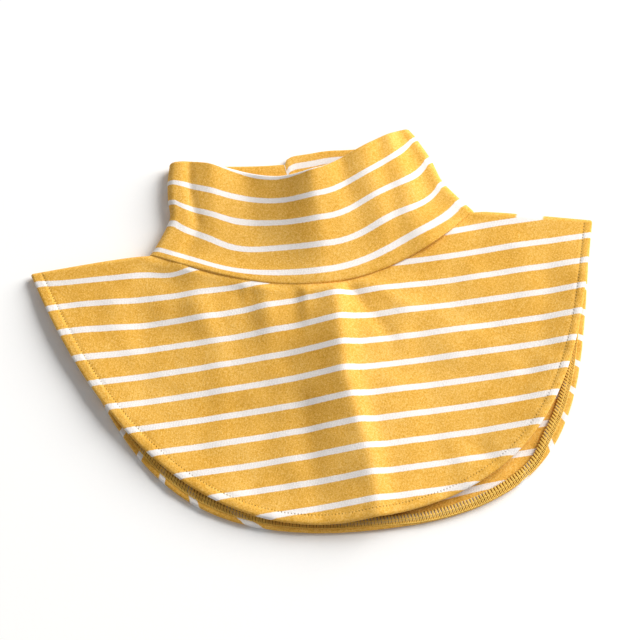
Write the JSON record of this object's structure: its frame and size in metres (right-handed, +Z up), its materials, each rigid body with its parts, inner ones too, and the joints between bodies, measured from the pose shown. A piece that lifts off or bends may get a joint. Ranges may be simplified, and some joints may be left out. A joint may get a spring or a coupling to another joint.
{
  "type": "turtleneck dickey",
  "caption": "Child's turtleneck dickey in striped knit, lying flat: a folded double collar tube seamed to a rounded front panel and back panel with turned hems.",
  "frame": {"origin": "middle of the dickey's footprint, on the surface that it lies on", "axes": "+X from wing tip to wing tip, across the bib; +Y from the bib's hem towards the collar's top fold; +Z up from the surface"},
  "size_m": [0.3418, 0.246, 0.0284],
  "materials": {
    "striped_knit": "brushed cotton knit, yellow with thin white stripes",
    "hem_overlock": "turned knit edge bound with overlock thread"
  },
  "bodies": {
    "root": {"collar": "striped_knit", "front_panel": "striped_knit", "back_panel": "striped_knit", "front_hem": "hem_overlock", "back_hem": "hem_overlock"}
  },
  "joints": []
}
